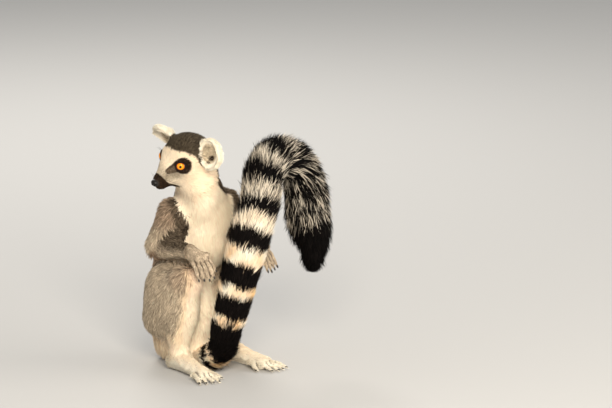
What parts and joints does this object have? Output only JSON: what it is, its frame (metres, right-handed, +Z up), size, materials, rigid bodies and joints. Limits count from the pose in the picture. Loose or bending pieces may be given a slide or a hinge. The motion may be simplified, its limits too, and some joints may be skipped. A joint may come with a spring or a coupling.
{
  "type": "ring-tailed lemur",
  "caption": "Still life-size ring-tailed lemur sitting upright, knees drawn up, head turned to its right, ringed tail brought up over its left shoulder.",
  "frame": {"origin": "on the floor under the middle of the whole model's box", "axes": "+Z up from the floor; the trunk faces -Y, the animal's left is +X and its right is -X"},
  "size_m": [0.2832, 0.2152, 0.3648],
  "materials": {
    "grey_coat": "dense woolly grey-brown fur, speckled",
    "white_coat": "soft cream-white fur",
    "ringed_coat": "long tail fur in rings of black and cream",
    "black_coat": "long black fur",
    "paw_skin": "dark bare skin and short grey hair, dark nails",
    "nose_skin": "moist black nose leather",
    "eye": "wet cornea over an amber-orange iris and dark pupil"
  },
  "bodies": {
    "root": {"belly": "white_coat", "chest": "white_coat", "ear_left": "white_coat", "ear_right": "white_coat", "eye_left": "eye", "eye_right": "eye", "foot_left": "white_coat", "foot_right": "white_coat", "forearm_left": "grey_coat", "forearm_right": "grey_coat", "hand_left": "paw_skin", "hand_right": "paw_skin", "head": "white_coat", "muzzle": "white_coat", "neck": "white_coat", "nose": "nose_skin", "rump": "grey_coat", "shin_left": "grey_coat", "shin_right": "grey_coat", "tail_1": "ringed_coat", "tail_2": "ringed_coat", "tail_3": "ringed_coat", "tail_4": "ringed_coat", "tail_5": "ringed_coat", "tail_6": "ringed_coat", "tail_7": "ringed_coat", "tail_8": "ringed_coat", "tail_9": "black_coat", "thigh_left": "grey_coat", "thigh_right": "grey_coat", "upper_arm_left": "grey_coat", "upper_arm_right": "grey_coat"}
  },
  "joints": []
}
